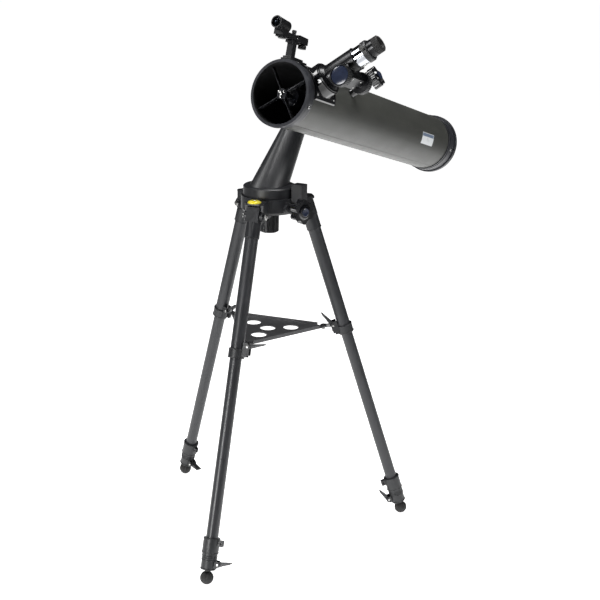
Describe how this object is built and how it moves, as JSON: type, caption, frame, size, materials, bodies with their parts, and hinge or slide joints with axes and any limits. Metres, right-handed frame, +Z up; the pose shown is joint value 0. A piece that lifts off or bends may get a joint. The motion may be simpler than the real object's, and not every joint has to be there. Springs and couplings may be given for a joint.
{
  "type": "telescope on tripod",
  "caption": "Newtonian reflector telescope on a leaning one-arm alt-azimuth head and a folding three-section tripod with an accessory tray.",
  "frame": {"origin": "on the floor under the middle of the overall box", "axes": "+Z up; the tube points along -Y, tilted up; the altitude axis runs along X; the focuser is on the +X side"},
  "size_m": [0.6274, 0.7932, 1.1304],
  "materials": {
    "cast_grey": "satin",
    "black_plastic": "satin",
    "leg_paint": "satin",
    "foot_rubber": "matte",
    "tube_paint": "satin",
    "tray_steel": "satin",
    "screw_steel": "bright",
    "level_yellow": "glossy",
    "mirror_glass": "polished",
    "vane_black": "matte",
    "diagonal_mirror": "polished",
    "chrome": "polished",
    "eyepiece_black": "glossy",
    "cup_rubber": "matte",
    "window_glass": "clear"
  },
  "bodies": {
    "hub": {"hub": "cast_grey", "bubble_level": "level_yellow"},
    "hub_knob": {"hub_knob": "black_plastic"},
    "azimuth_lock": {"azimuth_lock": "black_plastic"},
    "head": {"pan_disc": "black_plastic", "arm_inner": "cast_grey", "arm_outer": "cast_grey", "altitude_hub": "black_plastic"},
    "altitude_knob": {"altitude_knob": "black_plastic"},
    "telescope": {"saddle": "black_plastic", "dovetail": "cast_grey", "tube": "tube_paint", "front_ring": "black_plastic", "rear_cell": "black_plastic", "primary_mirror": "mirror_glass", "spider": "vane_black", "secondary": "diagonal_mirror", "focuser_base": "black_plastic", "focuser_body": "black_plastic", "finder_base": "black_plastic", "finder_body": "black_plastic", "finder_window": "window_glass"},
    "saddle_screw": {"saddle_screw": "black_plastic"},
    "focus_knobs": {"focus_knobs": "black_plastic"},
    "drawtube": {"drawtube": "chrome"},
    "eyepiece": {"eyepiece": "eyepiece_black", "eyecup": "cup_rubber"},
    "screw_a": {"screw_a": "screw_steel"},
    "screw_b": {"screw_b": "screw_steel"},
    "finder_wheel": {"finder_wheel": "black_plastic"},
    "stud_knob": {"stud_knob": "black_plastic"},
    "tray": {"tray": "tray_steel", "tray_screws": "screw_steel"},
    "front_leg": {"front_top": "cast_grey", "front_tube": "leg_paint", "front_clamp": "black_plastic"},
    "front_lever": {"front_lever": "black_plastic"},
    "front_mid": {"front_mid": "leg_paint", "front_collar": "black_plastic"},
    "front_latch": {"front_latch": "black_plastic"},
    "front_low": {"front_low": "leg_paint", "front_foot": "foot_rubber"},
    "right_leg": {"right_top": "cast_grey", "right_tube": "leg_paint", "right_clamp": "black_plastic"},
    "right_lever": {"right_lever": "black_plastic"},
    "right_mid": {"right_mid": "leg_paint", "right_collar": "black_plastic"},
    "right_latch": {"right_latch": "black_plastic"},
    "right_low": {"right_low": "leg_paint", "right_foot": "foot_rubber"},
    "left_leg": {"left_top": "cast_grey", "left_tube": "leg_paint", "left_clamp": "black_plastic"},
    "left_lever": {"left_lever": "black_plastic"},
    "left_mid": {"left_mid": "leg_paint", "left_collar": "black_plastic"},
    "left_latch": {"left_latch": "black_plastic"},
    "left_low": {"left_low": "leg_paint", "left_foot": "foot_rubber"}
  },
  "joints": [
    {"name": "azimuth_turn", "type": "hinge", "parent": "hub", "child": "head", "pos_m": [0.0008, -0.07527, 0.76], "axis": [0, 0, 1], "continuous": true},
    {"name": "azimuth_lock_turn", "type": "hinge", "parent": "hub", "child": "azimuth_lock", "pos_m": [0.09432, -0.10458, 0.731], "axis": [0.9542, -0.299, 0], "range_deg": [-180, 180]},
    {"name": "hub_knob_turn", "type": "hinge", "parent": "hub", "child": "hub_knob", "pos_m": [0.0008, -0.07527, 0.69], "axis": [0, 0, 1], "range_deg": [-180, 180]},
    {"name": "altitude_tilt", "type": "hinge", "parent": "head", "child": "telescope", "pos_m": [0.0008, 0.04973, 0.903], "axis": [-1, 0, 0], "range_deg": [-25, 55]},
    {"name": "altitude_knob_turn", "type": "hinge", "parent": "head", "child": "altitude_knob", "pos_m": [-0.0152, 0.04973, 0.903], "axis": [1, 0, 0], "range_deg": [-180, 180]},
    {"name": "saddle_screw_turn", "type": "hinge", "parent": "telescope", "child": "saddle_screw", "pos_m": [0.0604, 0.07648, 0.92464], "axis": [0, 0.2672, 0.9636], "range_deg": [-180, 180]},
    {"name": "focus_turn", "type": "hinge", "parent": "telescope", "child": "focus_knobs", "pos_m": [0.25586, -0.18759, 1.01644], "axis": [0, 0.9636, -0.2672], "range_deg": [-180, 180]},
    {"name": "focus_slide", "type": "slide", "parent": "telescope", "child": "drawtube", "axis": [0.8059, 0.1582, 0.5705], "range_m": [-0.019, 0.019]},
    {"name": "eyepiece_slide", "type": "slide", "parent": "drawtube", "child": "eyepiece", "axis": [0.8059, 0.1582, 0.5705], "range_m": [0, 0.035]},
    {"name": "screw_a_turn", "type": "hinge", "parent": "drawtube", "child": "screw_a", "pos_m": [0.28141, -0.15368, 1.06385], "axis": [0, 0.9636, -0.2672], "range_deg": [-180, 180]},
    {"name": "screw_b_turn", "type": "hinge", "parent": "drawtube", "child": "screw_b", "pos_m": [0.28141, -0.19223, 1.07454], "axis": [0, -0.9636, 0.2672], "range_deg": [-180, 180]},
    {"name": "finder_wheel_turn", "type": "hinge", "parent": "telescope", "child": "finder_wheel", "pos_m": [0.1404, -0.17992, 1.06652], "axis": [0, 0.2672, 0.9636], "range_deg": [-90, 90]},
    {"name": "stud_knob_turn", "type": "hinge", "parent": "telescope", "child": "stud_knob", "pos_m": [0.2395, -0.0694, 1.00853], "axis": [0.8059, 0.1582, 0.5705], "range_deg": [-180, 180]},
    {"name": "tray_drop", "type": "slide", "parent": "hub", "child": "tray", "axis": [0, 0, -1], "range_m": [0, 0.132]},
    {"name": "front_fold", "type": "hinge", "parent": "hub", "child": "front_leg", "pos_m": [0.01869, -0.15529, 0.718], "axis": [0.9759, 0.2181, 0], "range_deg": [0, 6]},
    {"name": "front_lever_turn", "type": "hinge", "parent": "front_leg", "child": "front_lever", "pos_m": [0.06033, -0.23157, 0.46545], "axis": [-0.2071, 0.9266, -0.314], "range_deg": [-65, 37]},
    {"name": "front_mid_slide", "type": "slide", "parent": "front_leg", "child": "front_mid", "axis": [-0.0685, 0.3064, 0.9494], "range_m": [0, 0.2]},
    {"name": "front_latch_turn", "type": "hinge", "parent": "front_mid", "child": "front_latch", "pos_m": [0.08844, -0.36878, 0.04201], "axis": [-0.2071, 0.9266, -0.314], "range_deg": [-64, 38]},
    {"name": "front_low_slide", "type": "slide", "parent": "front_mid", "child": "front_low", "axis": [0.0685, -0.3064, -0.9494], "range_m": [0, 0.25]},
    {"name": "right_fold", "type": "hinge", "parent": "hub", "child": "right_leg", "pos_m": [0.06116, -0.01977, 0.718], "axis": [-0.6769, 0.7361, 0], "range_deg": [0, 6]},
    {"name": "right_lever_turn", "type": "hinge", "parent": "right_leg", "child": "right_lever", "pos_m": [0.10587, 0.02134, 0.45792], "axis": [0.6769, -0.7361, 0], "range_deg": [-15, 19]},
    {"name": "right_mid_slide", "type": "slide", "parent": "right_leg", "child": "right_mid", "axis": [-0.2311, -0.2125, 0.9494], "range_m": [0, 0.2]},
    {"name": "right_latch_turn", "type": "hinge", "parent": "right_mid", "child": "right_latch", "pos_m": [0.2107, 0.11774, 0.03526], "axis": [0.6769, -0.7361, 0], "range_deg": [-17, 85]},
    {"name": "right_low_slide", "type": "slide", "parent": "right_mid", "child": "right_low", "axis": [0.2311, 0.2125, -0.9494], "range_m": [0, 0.25]},
    {"name": "left_fold", "type": "hinge", "parent": "hub", "child": "left_leg", "pos_m": [-0.07745, -0.05075, 0.718], "axis": [-0.299, -0.9542, 0], "range_deg": [0, 6]},
    {"name": "left_lever_turn", "type": "hinge", "parent": "left_leg", "child": "left_lever", "pos_m": [-0.1354, -0.03259, 0.45792], "axis": [0.299, 0.9542, 0], "range_deg": [-27, 7]},
    {"name": "left_mid_slide", "type": "slide", "parent": "left_leg", "child": "left_mid", "axis": [0.2996, -0.0939, 0.9494], "range_m": [0, 0.2]},
    {"name": "left_latch_turn", "type": "hinge", "parent": "left_mid", "child": "left_latch", "pos_m": [-0.2713, 0.01, 0.03526], "axis": [0.299, 0.9542, 0], "range_deg": [-72, 30]},
    {"name": "left_low_slide", "type": "slide", "parent": "left_mid", "child": "left_low", "axis": [-0.2996, 0.0939, -0.9494], "range_m": [0, 0.25]}
  ],
  "couplings": [
    {"joint": "focus_turn", "follows": "focus_slide", "rad_per_m": 161.29},
    {"joint": "right_fold", "follows": "front_fold", "ratio": 1},
    {"joint": "left_fold", "follows": "front_fold", "ratio": 1},
    {"joint": "tray_drop", "follows": "front_fold", "m_per_rad": 1.2605}
  ]
}
